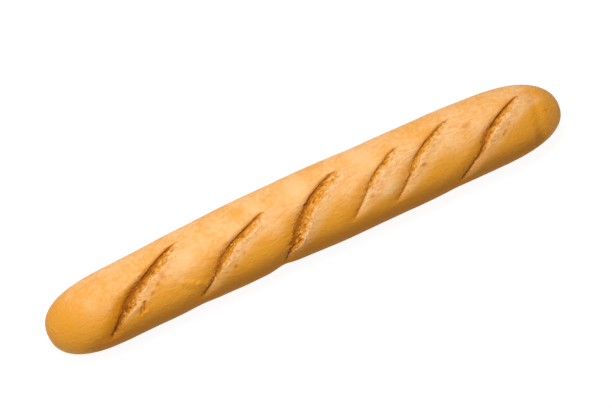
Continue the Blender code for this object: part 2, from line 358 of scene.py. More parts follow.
class Cut:
    """One score laid out over the rows of the mesh. Its t runs from 0, far end, to 1, near end."""

    def __init__(self, number, score, over):
        self.score = score
        self.seed = 3.0 + number
        line = lip_line(score, over)
        self.slant = np.gradient(line, over)
        self.run = np.concatenate([[0.0], np.cumsum(np.hypot(np.diff(line), np.diff(over)))])
        far, near = np.interp([score.line[0][1], score.line[-1][1]], over, self.run)
        self.t = (self.run - far) / (near - far)
        # from 0 to 1: the score is there, its skin rolls down to it, it has closed, it is torn
        self.opened = smooth(self.t / 0.05 + 0.3) * smooth((1.0 - self.t) / 0.10)
        self.rolling = smooth((self.t - 0.12) / 0.50)
        self.closing = smooth((self.t - score.closes + CLOSING) / CLOSING)
        self.torn = self.opened * (1.0 - smooth((self.t - score.closes + 0.04) / 0.08))
        spread = (0.2 + 0.8 * smooth(self.t / 0.32)) * (1.0 - self.closing)
        uneven = 1.0 + 0.20 * self.lumps(0.011, self.run)
        uneven += 0.16 * self.lumps(0.0045, self.run, turn=50)
        self.gape = CREASE_GAPE + (score.gape - CREASE_GAPE) * spread * uneven
        self.pinch = score.pinch * smooth((self.t - 0.75) / 0.25)
        self.pinch = self.pinch * (1.0 - smooth((over - score.line[-1][1] - 0.012) / 0.014))
        jag = 0.6 * self.lumps(0.0055, self.run, turn=20)
        jag += 0.4 * self.lumps(0.0019, self.run, turn=30)
        self.lip = line + RAG * score.ragged * jag * self.opened * (0.3 + 0.7 * self.torn)

    def lumps(self, size, *places, turn=0):
        """Even noise of this score's own, another for each turn."""
        return wander(size, *places, seed=self.seed + turn)

    def across(self, x):
        """The signed distance from the lip, square to it: positive on the opened side."""
        return (x - self.lip) / np.sqrt(1.0 + self.slant**2)

    def pinched(self, away):
        """How far the flank is drawn in round the near end."""
        return self.pinch * bell(away / PINCH_REACH)

    def lip_side(self, away):
        """The lift of the crust on the side that curls over the score."""
        reach = SHOULDER_REACH + SHOULDER_WIDENS * self.score.warm * smooth((self.t - 0.40) / 0.30)
        rolled = np.maximum(1.0 - away / reach, 0.0) ** 2
        brow = np.maximum(1.0 - away / BROW_REACH, 0.0) ** 2
        roll = (SHOULDER_DROP - BROW_DROP) * rolled + BROW_DROP * brow
        lift = -self.score.depth * self.rolling * roll
        lift += EAR_RISE * (1.0 - self.rolling) * bell(away / EAR_REACH)
        lift -= EDGE_TURN * np.exp(-away / EDGE_REACH)
        crimps = self.lumps(CRIMP_SIZE, away * 0.35, self.run)
        lift += CRIMP_RISE * crimps * np.exp(-away / CRIMP_REACH) * self.score.ragged * self.rolling
        return self.opened * lift - self.pinched(away)

    def floor_side(self, away):
        """The drop of the crust on the side that opened: a floor, a torn bank and its crest."""
        share = away / self.gape
        wavy = 0.10 * self.lumps(0.004, self.run, turn=6)
        bank = smooth((share - BANK_START + wavy) / BANK_WIDTH)
        floor = self.score.depth * (1.0 - FOOT_RISE * np.clip(share, 0.0, 1.0)) * (1.0 - bank)
        floor = floor * (FAR_DEPTH + (1.0 - FAR_DEPTH) * smooth(self.t / 0.35))
        side = np.maximum(1.0 - away / (BANK_SHARE * self.score.gape + BANK_REACH), 0.0) ** 2
        drop = SHOULDER_DROP * self.score.depth + LIP_STEP
        lift = -floor * (1.0 - self.closing) - drop * side * self.closing
        past = away - CREST_PLACE * self.gape
        crest = bell(past / np.where(past < 0.0, CREST_FOOT, CREST_REACH))
        lift += CREST_RISE * crest * (1.0 - self.closing)
        strands = 1.0 - 2.0 * np.abs(self.lumps(STRAND_SIZE, away, self.run * 0.3))
        clumps = self.lumps(CLUMP_SIZE, away, self.run * 0.7, turn=5)
        grain = self.lumps(GRAIN_SIZE, away, self.run, turn=9)
        crumb = STRAND_RISE * (strands - 0.4) + CLUMP_RISE * clumps + GRAIN_RISE * grain
        lift += self.torn_mask(away) * crumb
        bumps = self.lumps(BUMP_SIZE, away * 0.7, self.run, turn=12)
        bumps += 0.6 * self.lumps(FINE_BUMP_SIZE, away * 0.7, self.run, turn=13)
        rough = 1.0 - smooth((away - 1.2 * self.gape) / ROUGH_REACH)
        lift += (BUMP_RISE + ROUGH_RISE * rough) * bumps * self.thin_skin_and_highlight_mask(away)
        return self.opened * lift - self.pinched(away)

    def torn_mask(self, away):
        """1 on the torn floor, 0 on skin, with a ragged border between."""
        edge = 0.92 + 0.26 * self.lumps(0.0032, away, self.run * 0.6, turn=7)
        return self.torn * (1.0 - smooth((away / self.gape - edge) / 0.16))

    def tone(self, away):
        """How light the torn crumb is: from the depths by the lip to the top of the bank. A darker
        score darkens it, partly its own colour and partly painted shade.
        """
        dark = (self.score.browned - 0.45) * 0.70 * smooth((self.t - 0.05) / 0.35)
        return np.clip(away / self.gape, 0.0, 1.3) - dark

    def fold_shade_mask(self, away):
        """1 in the painted shade of the fold at the foot of the bank, broken here and there."""
        place = 0.88 + 0.08 * self.lumps(0.004, self.run, turn=6)
        patchy = 0.6 + 0.9 * self.lumps(0.005, self.run, away, turn=8)
        return bell((away / self.gape - place) / 0.10) * np.clip(patchy, 0.0, 1.0) * self.torn

    def thin_skin_and_highlight_mask(self, away):
        """1 on the thin skin drawn out beyond the bank, whose pale reach is partly a painted highlight,
        and on the painted highlight along the crest of the crease.
        """
        browned = self.score.browned
        past = away - self.gape
        reach = DRAWN_AND_HIGHLIGHT_REACH * (0.25 + 0.75 * smooth((self.t + 0.1) / 0.45))
        reach = reach * (1.0 - 0.45 * smooth((self.t - 0.55) / 0.4)) * (1.4 - 0.4 * browned)
        ends = 1.0 - smooth((past - 0.30 * reach) / (1.1 * reach))
        kept = (1.0 - self.closing) + self.closing * max(0.0, 1.15 - browned)
        thin = smooth(past / 0.0006 + 0.6) * ends * np.clip(kept, 0.0, 1.0)
        shown = smooth((self.t + 0.07) / 0.16) * smooth((1.0 - self.t) / 0.16)
        return shown * np.minimum(self.score.pale * thin + self.rim_and_highlight(away, RIM_WIDTH), 1.0)

    def rim_and_highlight(self, away, wide):
        """1 along the painted highlight beside the crease of a score with little browning and shade."""
        pale = (1.25 - self.score.browned) * self.closing * (1.0 - smooth((self.t - 0.78) / 0.18))
        return pale * bell((away - wide) / (0.8 * wide))

    def browned(self, away):
        """How far the score's hollow is darkened: partly colour taken in the oven, partly painted shade."""
        reach = 0.0009 + (0.10 + 0.16 * smooth((self.t - 0.15) / 0.35)) * self.gape
        return self.opened * self.score.browned * bell(away / reach)

    def browned_and_shaded_lip(self, away):
        """How far the edge of the lip is darkened: partly colour taken in the oven, partly painted
        shade under the lip.
        """
        edge = (0.2 + 0.3 * self.rolling) * np.exp(-away / 0.0010)
        edge += 0.35 * self.rolling * self.score.warm * np.exp(-away / 0.0042)
        return self.opened * self.score.browned * edge

    def gold_shading_mask(self, away):
        """How golden and dark the skin turns where it rolls down to the lip: partly its own colour,
        partly painted shade.
        """
        low = smooth((self.t - 0.35) / 0.35)
        reach = GOLD_SHADING_REACH * (0.25 + 0.55 * self.rolling + 0.45 * low)
        fade = smooth(1.25 * (1.0 - away / reach))
        near = 0.75 * np.exp(-away / 0.0016)
        return self.opened * np.maximum(self.score.warm * (0.3 + 0.7 * self.rolling) * fade, near)

    def low_gold_shading(self, away):
        """How golden and dark the skin turns just past the closed crease of a darker score: partly its
        own colour, partly painted shade.
        """
        past = np.maximum(1.0 - away / LOW_GOLD_SHADING_REACH, 0.0)
        low = smooth((self.t - 0.45) / 0.25) * max(0.0, self.score.browned - 0.5) * 2.0
        return self.opened * self.closing * low * past

    def lip_flecks(self, away):
        """Where a few flakes cling to a ragged lip."""
        return 0.12 * self.rolling * self.score.ragged * np.exp(-away / 0.0022) * self.opened

    def fleck_mask(self, away):
        """Where flakes of crumb cling past the lip: mostly to the crest, some on the floor."""
        share = away / self.gape
        crest = bell((share - 1.12) / 0.24) * self.torn
        strewn = 0.06 * self.torn_mask(away) * smooth(share / 0.5)
        return self.opened * (crest + strewn + 0.5 * self.rim_and_highlight(away, 0.0010))


def row_places():
    """The way over the crust of each row, once round the loaf."""
    edge = HALF_GIRTH - SOLE_HALF
    marks = [-HALF_GIRTH, -edge, *CROWN_SPAN, edge, HALF_GIRTH]
    spans = zip(marks, marks[1:], ROW_COUNTS)
    return np.concatenate([np.linspace(a, b, count, endpoint=False) for a, b, count in spans])


# A column of the mesh: its x by row, the scores it has passed, and the score whose wall it is on.
Column = namedtuple("Column", "x passed wall")


def columns(cuts, over):
    """Every column of the mesh, from the blunt tip to the slim one."""
    tip = np.full_like(over, LENGTH / 2)
    edges = [-tip, *[cut.lip for cut in cuts], tip]
    steps = np.linspace(0.0, 1.0, AFTER_STEPS + 1)[1:]
    after_lip = AFTER_REACH * (0.55 * steps + 0.45 * steps**2)
    before_lip = np.array(BEFORE_LIP) / MILLIMETRES
    found = []
    previous = -tip
    for number, cut in enumerate(cuts):
        before, after = cut.lip - edges[number], edges[number + 2] - cut.lip
        room = np.minimum(1.0, GAP_SHARE * before / BEFORE_REACH)
        left = [cut.lip - p * room for p in before_lip]
        room = np.minimum(1.0, GAP_SHARE * after / AFTER_REACH)
        right = [cut.lip + p * room for p in after_lip]
        gap = float(np.max(left[0] - previous))
        shares = np.linspace(0.0, 1.0, max(2, round(gap / COLUMN_STEP)) + 1)[1:-1]
        if number == 0:
            shares = shares**TIP_CROWDING
        found += [Column(previous + (left[0] - previous) * s, number, None) for s in shares]
        found += [Column(x, number, None) for x in left]
        walls = np.linspace(0.0, 1.0, WALL_COLUMNS)
        found += [Column(cut.lip + WALL_STEP * s, number, number) for s in walls]
        found += [Column(x, number + 1, None) for x in right]
        previous = right[-1]
    gap = float(np.max(tip - previous))
    shares = 1.0 - np.linspace(1.0, 0.0, round(gap / COLUMN_STEP) + 1)[1:-1] ** TIP_CROWDING
    found += [Column(previous + (tip - previous) * s, len(cuts), None) for s in shares]
    return found


def marks_relief(x, over):
    """The lift of pits, blisters, tears and the fold round the slim end; the darkening of hollow
    pits and tears, partly brown spots and partly painted shade; and a band just past the fold.
    """
    lift = np.zeros_like(x)
    dark = np.zeros_like(x)
    for pit_x, pit_over, radius, depth in PITS:
        away = np.hypot(x - pit_x, over - pit_over) / radius
        lift -= depth * bell(away) - 0.25 * depth * np.exp(-((away - 1.5) ** 2) / 0.4)
        # hollow pits darken: partly brown spots, partly painted shade
        dark += min(1.0, max(0.0, depth) / 0.0008) * bell(away / 1.25)
    for x0, over0, x1, over1, width, depth in TEARS:
        length = math.hypot(x1 - x0, over1 - over0)
        share = ((x - x0) * (x1 - x0) + (over - over0) * (over1 - over0)) / length**2
        share = np.clip(share, 0.0, 1.0)
        off = np.hypot(x - x0 - share * (x1 - x0), over - over0 - share * (over1 - over0)) / width
        lift -= depth * bell(off) - 0.3 * depth * bell(off - 2.2)
        # hollow tears darken: partly their own colour, partly painted shade
        dark += (depth > 0.0) * 0.9 * bell(off)
    crease_x, crease_over = np.array(END_CREASE).T
    ring = np.interp(over, crease_over, crease_x) + 0.0015 * wander(0.012, over, seed=2)
    fade = smooth((over + 0.022) / 0.012) * (1.0 - smooth((over - 0.036) / 0.012))
    lift -= fade * CREASE_DEPTH * bell((x - ring) / CREASE_WIDTH)
    lift += fade * SWELL_RISE * bell((x - ring - SWELL_PLACE) / SWELL_WIDTH)
    band = fade * bell((x - ring - 0.001) / 0.0045)
    return lift, np.minimum(dark, 1.0), band


def toast_and_shade(x, rows, band, painted_highlight):
    """How dark the skin is: 0 pale, 1 the toast colour, 2 the colour of the flank. It darkens to
    the near side and low down, partly toast and partly painted shade.
    """
    # darker to the near side and low on the far side: partly toast, partly painted shade
    toast = smooth((rows + 0.015) / 0.050) + smooth((rows - 0.018) / 0.029)
    toast += 2.0 * smooth((-rows - 0.048) / 0.045)
    ends = smooth((np.abs(x) - 0.172) / 0.050) * smooth((rows + 0.026) / 0.024)
    toast += 0.42 * ends * (1.0 - smooth(rows / 0.030))
    # a darker band just past the fold round the slim end
    toast += 0.5 * band
    # painted highlights lighten the skin
    toast -= 0.7 * painted_highlight
    # the rows all meet at each tip, so the colour there is one golden brown
    tips = smooth((np.abs(x) - 0.206) / 0.036)
    toast += tips * (TIP_TOAST - toast)
    return toast


FIELDS = ("torn", "stretch", "scorch_and_shade", "warm", "run", "reach", "tone", "fold", "fleck")


class ScoredCrust:
    """The visible crust by column and row: its lift, its shift along X, and what it carries."""

    def __init__(self):
        self.over = row_places()
        cuts = [Cut(number, score, self.over) for number, score in enumerate(SCORES)]
        layout = columns(cuts, self.over)
        self.x = np.array([column.x for column in layout])
        self.passed = np.array([column.passed for column in layout])
        self.fields = {name: np.zeros_like(self.x) for name in FIELDS}
        self.fields["reach"] += LENGTH
        self.lift = np.zeros_like(self.x)
        self.shift = np.zeros_like(self.x)
        for number, cut in enumerate(cuts):
            first = int(np.argmax(self.passed == number))
            last = int(len(self.passed) - np.argmax(self.passed[::-1] == number + 1))
            wall = [place for place, column in enumerate(layout) if column.wall == number]
            self.roll(cut, slice(first, wall[0]))
            self.tear(cut, slice(wall[-1] + 1, last))
            self.drop(cut, wall)
            self.reach_on(cut, first, last)

    def roll(self, cut, place):
        """The columns before a lip: skin that rolls down to it and darkens, partly browning and partly
        painted shade.
        """
        fields = self.fields
        away = np.maximum(-cut.across(self.x[place]), 0.0)
        self.lift[place] += cut.lip_side(away)
        fields["scorch_and_shade"][place] += cut.browned_and_shaded_lip(away)
        fields["warm"][place] += cut.gold_shading_mask(away)
        nearer = away < np.abs(fields["reach"][place])
        fields["reach"][place] = np.where(nearer, -away, fields["reach"][place])
        fields["run"][place] = np.where(nearer, cut.run, fields["run"][place])
        fields["fleck"][place] += cut.lip_flecks(away)

    def tear(self, cut, place):
        """The columns past a lip: the torn floor, its bank and the skin drawn out beyond."""
        fields = self.fields
        away = np.maximum(cut.across(self.x[place]), 0.0)
        self.lift[place] += cut.floor_side(away)
        fields["torn"][place] += cut.torn_mask(away)
        fields["stretch"][place] += cut.thin_skin_and_highlight_mask(away)
        fields["scorch_and_shade"][place] += cut.browned(away)
        fields["warm"][place] += cut.low_gold_shading(away)
        fields["tone"][place] = cut.tone(away)
        fields["fold"][place] += cut.fold_shade_mask(away)
        fields["fleck"][place] += cut.fleck_mask(away)
        fields["reach"][place] = away
        fields["run"][place] = cut.run
        self.shift[place] -= self.undercut(cut) * np.exp(-away / UNDERCUT_REACH)

    def drop(self, cut, wall):
        """The columns of the wall under a lip, which joins the lip to the floor."""
        fields = self.fields
        zero = np.zeros_like(self.over)
        top, bottom = cut.lip_side(zero), cut.floor_side(zero)
        for place, share in zip(wall, np.linspace(0.0, 1.0, len(wall))):
            self.lift[place] += top + (bottom - top) * share
            self.shift[place] -= self.undercut(cut) * math.sin(share * math.pi / 2)
            # painted shade on the wall under the lip, partly browning
            fields["scorch_and_shade"][place] += cut.browned(zero) * (0.45 + 0.55 * cut.rolling)
            fields["torn"][place] += cut.torn * smooth(np.array(share * 2.0))
            fields["run"][place] = cut.run
            fields["reach"][place] = 0.0

    def undercut(self, cut):
        """How far the lip hangs over the floor, row by row."""
        return UNDERCUT * cut.opened * (1.0 - cut.closing) * (0.3 + 0.7 * cut.rolling)

    def reach_on(self, cut, first, last):
        """The columns beyond the nearest ones, which still feel a score."""
        before, after = slice(0, first), slice(last, len(self.passed))
        self.lift[before] += cut.lip_side(np.maximum(-cut.across(self.x[before]), 0.0))
        away = np.maximum(cut.across(self.x[after]), 0.0)
        self.lift[after] += cut.floor_side(away)
        self.fields["stretch"][after] += cut.thin_skin_and_highlight_mask(away)

    def points(self, unevenness):
        """Every point of the crust, once the marks of baking and of hands are on it."""
        x = self.x
        rows = np.broadcast_to(self.over, x.shape)
        # hollow pits and tears darkened: partly brown spots, partly painted shade
        marks, self.fields["spot_and_pit_shade"], band = marks_relief(x, rows)
        # painted highlights in broad places on the skin
        self.fields["painted_highlight"] = sum(
            bell(np.hypot(x - place, rows - over_at) / radius)
            for place, over_at, radius in PAINTED_HIGHLIGHTS
        )
        # the skin's toast and painted shade, darker to the near side and low down
        self.fields["side"] = toast_and_shade(x, rows, band, self.fields["painted_highlight"])
        ground = crust(x, rows)
        free = smooth((ground[..., 2] - 0.004) / 0.012)
        lumps = wander(0.048, *np.moveaxis(ground, -1, 0), seed=1)
        lumps = lumps + 0.25 * wander(0.015, *np.moveaxis(ground, -1, 0), seed=4)
        lift = self.lift + marks + unevenness * lumps * free
        points = crust(x + self.shift, rows) + outward(x, rows) * lift[..., None]
        points[..., 2] = np.maximum(points[..., 2], 0.0)
        return points


def mesh_of(name, points, fields):
    """A closed mesh through the points, with a fan at each tip, carrying each field."""
    count, around = points.shape[:2]
    tips = []
    for x, ring in ((-LENGTH / 2, points[0]), (LENGTH / 2, points[-1])):
        middle = ring.mean(axis=0)
        tips.append((x, middle[1], middle[2]))
    vertices = np.concatenate([points.reshape(-1, 3), np.array(tips)])
    here = np.arange(count * around).reshape(count, around)
    back = np.roll(here, 1, axis=1)
    quads = np.stack([here[:-1], here[1:], back[1:], back[:-1]], axis=-1).reshape(-1, 4)
    blunt, slim = count * around, count * around + 1
    fans = [(blunt, here[0][i], back[0][i]) for i in range(around)]
    fans += [(slim, back[-1][i], here[-1][i]) for i in range(around)]
    data = bpy.data.meshes.new(name)
    data.from_pydata(vertices.tolist(), [], quads.tolist() + fans)
    for field, values in fields.items():
        carried = np.concatenate([values.ravel(), values[0, :1], values[-1, :1]])
        data.attributes.new(field, "FLOAT", "POINT").data.foreach_set("value", carried)
    data.shade_smooth()
    return data


def add_piece(name, data, material):
    """An object of this mesh that rides on the loaf's body and wears the given material."""
    piece = bpy.data.objects.new(name, data)
    bpy.context.scene.collection.objects.link(piece)
    data.materials.clear()
    data.materials.append(material)
    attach(piece, "root")
    return piece


class Value:
    """A node's output socket that can stand in a sum; each operator adds a Math node."""

    def __init__(self, nodes, socket):
        self.nodes = nodes
        self.socket = socket

    def calculate(self, operation, *terms):
        return self.nodes.add("ShaderNodeMath", {"operation": operation}, dict(enumerate(terms)))

    def __add__(self, other):
        return self.calculate("ADD", self, other)

    def __radd__(self, other):
        return self.calculate("ADD", other, self)

    def __sub__(self, other):
        return self.calculate("SUBTRACT", self, other)

    def __rsub__(self, other):
        return self.calculate("SUBTRACT", other, self)

    def __mul__(self, other):
        return self.calculate("MULTIPLY", self, other)

    def __pow__(self, other):
        return self.calculate("POWER", self, other)

    def clipped(self):
        return self.nodes.add("ShaderNodeClamp", {}, {"Value": self})

    def between(self, low, high):
        """0 below low, 1 above high, smooth between."""
        inputs = {"Value": self, "From Min": low, "From Max": high}
        return self.nodes.add("ShaderNodeMapRange", {"interpolation_type": "SMOOTHSTEP"}, inputs)

    def beside(self, output):
        """Another output of the same node."""
        return Value(self.nodes, self.socket.node.outputs[output])


class Nodes:
    """A node tree that grows by calls."""

    def __init__(self, tree):
        self.tree = tree

    def add(self, kind, settings, inputs, output=0):
        """A new node with these settings and socket values or links, as its output socket."""
        node = self.tree.nodes.new(kind)
        for name, value in settings.items():
            setattr(node, name, value)
        for name, value in inputs.items():
            self.feed(node.inputs[name], value)
        return Value(self, node.outputs[output])

    def feed(self, socket, value):
        """Link a value to a socket, or set the socket to a plain number or colour."""
        if isinstance(value, Value):
            self.tree.links.new(value.socket, socket)
        elif socket.type == "RGBA" and len(value) == 3:
            socket.default_value = (*value, 1.0)
        else:
            socket.default_value = value


class Graph(Nodes):
    """The node tree of one new material."""

    def __init__(self, name):
        self.material = bpy.data.materials.new(name)
        self.material.use_nodes = True
        super().__init__(self.material.node_tree)
        self.shader = self.tree.nodes["Principled BSDF"]
        self.place = self.add("ShaderNodeTexCoord", {}, {}, "Object")

    def dress(self, finish):
        """Set or link the shader's own sockets."""
        for name, value in finish.items():
            self.feed(self.shader.inputs[name], value)

    def mix(self, share, first, second):
        """One colour going over to another."""
        settings = {"data_type": "RGBA", "clamp_factor": True}
        return self.add("ShaderNodeMix", settings, {0: share, 6: first, 7: second}, 2)

    def field(self, name):
        """What the mesh carries under this name."""
        return self.add("ShaderNodeAttribute", {"attribute_name": name}, {}, "Fac")

    def noise(self, place, scale, detail=2.0, roughness=0.5):
        inputs = {"Vector": place, "Scale": scale, "Detail": detail, "Roughness": roughness}
        return self.add("ShaderNodeTexNoise", {}, inputs, "Fac")

    def ramp(self, share, *stops):
        """The colour at this share, between stops of (share, colour)."""
        found = self.add("ShaderNodeValToRGB", {}, {"Fac": share}, "Color")
        elements = found.socket.node.color_ramp.elements
        while len(elements) < len(stops):
            elements.new(0.5)
        for element, (position, colour) in zip(elements, stops):
            element.position = position
            element.color = (*colour, 1.0)
        return found

    def bump(self, height, distance, strength, normal=None):
        inputs = {"Height": height, "Distance": distance, "Strength": strength}
        if normal is not None:
            inputs["Normal"] = normal
        return self.add("ShaderNodeBump", {}, inputs, "Normal")


class CrustLook:
    """The crust's material: golden skin, drawn-out skin, torn crumb and dark lips in one, with
    painted shade and painted highlights in its colour.
    """

    def __init__(self, bake):
        self.bake = bake
        self.graph = Graph("crust")
        field, noise = self.graph.field, self.graph.noise
        place = self.graph.place
        self.torn, self.stretch, self.scorch_and_shade = field("torn"), field("stretch"), field("scorch_and_shade")
        height = self.graph.add("ShaderNodeSeparateXYZ", {}, {"Vector": place}, "Z")
        # how high a place is; the skin darkens low down, partly its own colour and partly painted shade
        self.height = height.between(0.004, 0.030)
        self.blotches = noise(place, BLOTCHES, 3.0, 0.55)
        self.mottle = noise(place, MOTTLE, 4.0, 0.65)
        # the scale of toast and painted shade, broken up by blotches
        self.side = field("side") + (self.blotches - 0.5) * 0.3
        run, self.reach = field("run"), field("reach")
        self.near = 1.0 - (self.reach * MILLIMETRES).between(12.0, 22.0)
        self.folds = self.by_lip(run, self.reach * 0.6)
        self.strands = noise(self.by_lip(run * 0.18, self.reach), STRANDS, 3.0, 0.65)
        self.grains = noise(place, GRAINS, 2.0, 0.6)
        self.clumps = noise(place, CLUMPS, 2.0, 0.5)

    def by_lip(self, along, across):
        """A texture's place that follows a score, along its lip and across it."""
        return self.graph.add("ShaderNodeCombineXYZ", {}, {"X": along, "Y": across, "Z": 0.0})

    def skin(self):
        """Mottled skin with broad painted highlights, darker to the near side and low down (partly
        toast, partly painted shade), and golden and dark by the lips (partly its own colour, partly
        painted shade).
        """
        mix, bake = self.graph.mix, self.bake
        shade = (self.blotches * 0.50 + self.mottle * 0.50).between(0.38, 0.62)
        colour = mix(shade, bake.pale_skin, bake.golden_skin)
        # painted highlight: broad places mixed towards the pale drawn-out skin colour
        pale = self.graph.field("painted_highlight")
        painted_highlight = pale * 0.75 + (self.mottle - 0.5) * 0.5
        colour = mix((painted_highlight * pale).clipped(), colour, bake.drawn_skin_and_highlight)
        # painted shade: darker to the near side and low down, partly the crust's own toast
        colour = mix(self.side.between(0.05, 0.95), colour, bake.toasted_and_shaded)
        colour = mix(self.side.between(0.9, 1.95), colour, bake.flank)
        colour = mix(1.0 - self.height, colour, bake.flank)
        # painted shade: the skin golden and dark where it rolls down to a lip, partly its own colour
        warm = self.graph.field("warm") * (0.95 + (self.mottle - 0.5) * 1.2)
        return mix(warm.clipped(), colour, bake.lip_gold_and_shade)

    def drawn(self, skin):
        """The skin where it is drawn out thin beside a score, with small spots and streaks; its pale
        colour is partly a painted highlight.
        """
        graph, bake = self.graph, self.bake
        cells = {"Vector": graph.place, "Scale": SPOTS, "Randomness": 1.0}
        dots = graph.add("ShaderNodeTexVoronoi", {}, cells, "Distance")
        spots = (1.0 - dots.between(0.10, 0.34)) * self.blotches.between(0.42, 0.60)
        thin = graph.mix(spots * self.near * 0.6, bake.drawn_skin_and_highlight, bake.spot_and_pit_shade)
        # the pale drawn-out skin: partly thin skin, partly painted highlight
        colour = graph.mix((self.stretch * 0.92).clipped(), skin, thin)
        patches = graph.noise(self.folds, PATCHES, 3.0, 0.6).between(0.44, 0.56) * self.near
        streaks = patches * self.stretch.between(0.05, 0.55) * 0.55
        return graph.mix(streaks.clipped(), colour, bake.streak)

    def crumb(self):
        """Torn crumb, from dark hollows by the lip, partly browning and partly painted shade, to pale
        strands.
        """
        bake = self.bake
        share = (self.strands * 0.50 + self.grains * 0.1 + self.clumps * 0.40 - 0.5) * 3.4
        share = share + self.graph.field("tone") * 0.62
        return self.graph.ramp(
            (share + 0.26).clipped(),
            (0.0, bake.scorch_and_shade), (0.26, bake.deep_crumb_and_shade), (0.62, bake.crumb), (1.0, bake.pale_crumb),
        )

    def colour(self):
        graph, bake = self.graph, self.bake
        colour = graph.mix(self.torn, self.drawn(self.skin()), self.crumb())
        # painted shade in the fold at the foot of the bank
        colour = graph.mix((graph.field("fold") * 0.8).clipped(), colour, bake.deep_crumb_and_shade)
        # pale crumb flecks on the crest, and a painted highlight along the crease
        rim_and_highlight = graph.field("fleck") * (self.clumps * 0.5 + self.grains * 0.5).between(0.47, 0.56)
        colour = graph.mix((rim_and_highlight * 0.75).clipped(), colour, bake.rim_and_highlight)
        # hollow pits and tears darkened: partly brown spots, partly painted shade
        colour = graph.mix(graph.field("spot_and_pit_shade") * 0.85, colour, bake.spot_and_pit_shade)
        # the dark hollows and lip edges: partly browning, partly painted shade
        return graph.mix((self.scorch_and_shade * 0.95).clipped(), colour, bake.scorch_and_shade)

    def roughness(self):
        """Satin skin, drier where it is torn, low on the sides and underneath."""
        dry = self.side.between(0.6, 1.8) * 0.20 + (1.0 - self.height) * 0.10
        return 0.42 + self.mottle * 0.14 + self.torn * 0.25 + dry

    def normal(self):
        """Fine wrinkles along the loaf, ripples, torn fibres, and crimps in the lips."""
        graph = self.graph
        along = {"Vector": graph.place, "Scale": (0.45, 1.0, 1.0)}
        wrinkles = graph.noise(graph.add("ShaderNodeMapping", {}, along), WRINKLES, 4.0, 0.62)
        ripples = graph.noise(graph.place, RIPPLES, 3.0, 0.6)
        normal = graph.bump(wrinkles, WRINKLE_RISE, 0.6)
        normal = graph.bump(ripples, RIPPLE_RISE, 0.7, normal)
        fibres = self.strands * 0.6 + self.grains * 0.4
        normal = graph.bump(fibres * self.torn, FIBRE_RISE, 0.8, normal)
        at_lip = 1.0 - (self.reach * self.reach * MILLIMETRES**2).between(1.0, 20.0)
        crimps = (graph.noise(self.folds, CRIMPS, 2.0, 0.6) - 0.5) * at_lip
        return graph.bump(crimps * graph.field("warm").clipped(), FINE_CRIMP_RISE, 0.9, normal)

    def material(self):
        self.graph.dress({
            "Base Color": self.colour(),
            "Roughness": self.roughness(),
            "Normal": self.normal(),
            "Specular IOR Level": CRUST_GLOSS,
        })
        return self.graph.material


def crumb_material(bake):
    """Dry crumb: cream to gold, one tint to each flake."""
    graph = Graph("crumb")
    grain = graph.noise(graph.place, FLAKE_GRAIN)
    share = (graph.field("tint") ** 1.4 * 0.8 + grain * 0.2).clipped()
    graph.dress({
        "Base Color": graph.mix(share, bake.crumb, bake.pale_crumb),
        "Roughness": 0.8,
        "Normal": graph.bump(grain, FLAKE_GRAIN_RISE, 0.5),
    })
    return graph.material


def colour_property(name, description, default):
    return FloatVectorProperty(
        name=name, description=description, subtype="COLOR", size=3, min=0.0, max=1.0, default=default
    )


class BakeSettings(bpy.types.PropertyGroup):
    """The loaf's handling and its colours."""

    unevenness: FloatProperty(
        name="Unevenness", description="How far hand shaping leaves the skin from true",
        default=0.0006, min=0.0, max=0.003, subtype="DISTANCE", unit="LENGTH",
    )
    pale_skin: colour_property("Pale skin", "The lightest of the skin", (0.96, 0.535, 0.215))
    golden_skin: colour_property("Golden skin", "The darkest of the skin", (0.89, 0.395, 0.070))
    # the near side's colour: partly toast, partly painted shade
    toasted_and_shaded: colour_property("Toasted side", "The skin on the side that baked darker", (0.85, 0.350, 0.028))
    # the colour low on the sides and underneath: partly the crust's own, partly painted shade
    flank: colour_property("Flank", "The skin low on the sides and underneath", (0.58, 0.215, 0.012))
    # thin skin beside a score, partly a painted highlight
    drawn_skin_and_highlight: colour_property("Drawn skin", "Thin skin beside a score", (0.97, 0.575, 0.25))
    streak: colour_property("Streaks", "Golden streaks across thin skin", (0.90, 0.34, 0.045))
    # small brown spots on thin skin, also used for the painted shade in hollow pits and tears
    spot_and_pit_shade: colour_property("Spots", "Small browned spots on thin skin", (0.72, 0.23, 0.010))
    # the skin that rolls down to a lip: partly its own gold, partly painted shade
    lip_gold_and_shade: colour_property("Gold by the lip", "The skin that rolls down to a lip", (0.70, 0.25, 0.006))
    # the dark lip edge and hollow: partly browning, partly painted shade
    scorch_and_shade: colour_property("Scorched lip", "The browned edge of a score", (0.36, 0.095, 0.003))
    # torn crumb in the hollows: partly its own colour, partly painted shade
    deep_crumb_and_shade: colour_property("Deep crumb", "Torn crumb in the hollows", (0.60, 0.205, 0.006))
    crumb: colour_property("Crumb", "Torn crumb", (0.86, 0.36, 0.028))
    # the pale edge: crumb flecks on the crest, and a painted highlight beside the crease
    rim_and_highlight: colour_property("Rim", "The thin bright edge along the top of the bank", (0.98, 0.69, 0.42))
    pale_crumb: colour_property("Pale crumb", "Torn crumb on the raised strands", (0.97, 0.64, 0.28))


class CrumbSettings(bpy.types.PropertyGroup):
    """The flakes of crumb left in the scores."""

    density: FloatProperty(
        name="Flakes", description="Flakes to a square metre of torn floor", default=330000.0, min=0.0,
    )
    size: FloatProperty(
        name="Flake size", description="How long a flake is", default=0.0017,
        min=0.0002, max=0.004, subtype="DISTANCE", unit="LENGTH",
    )
    seed: IntProperty(name="Seed", description="Another number scatters them anew", default=7)


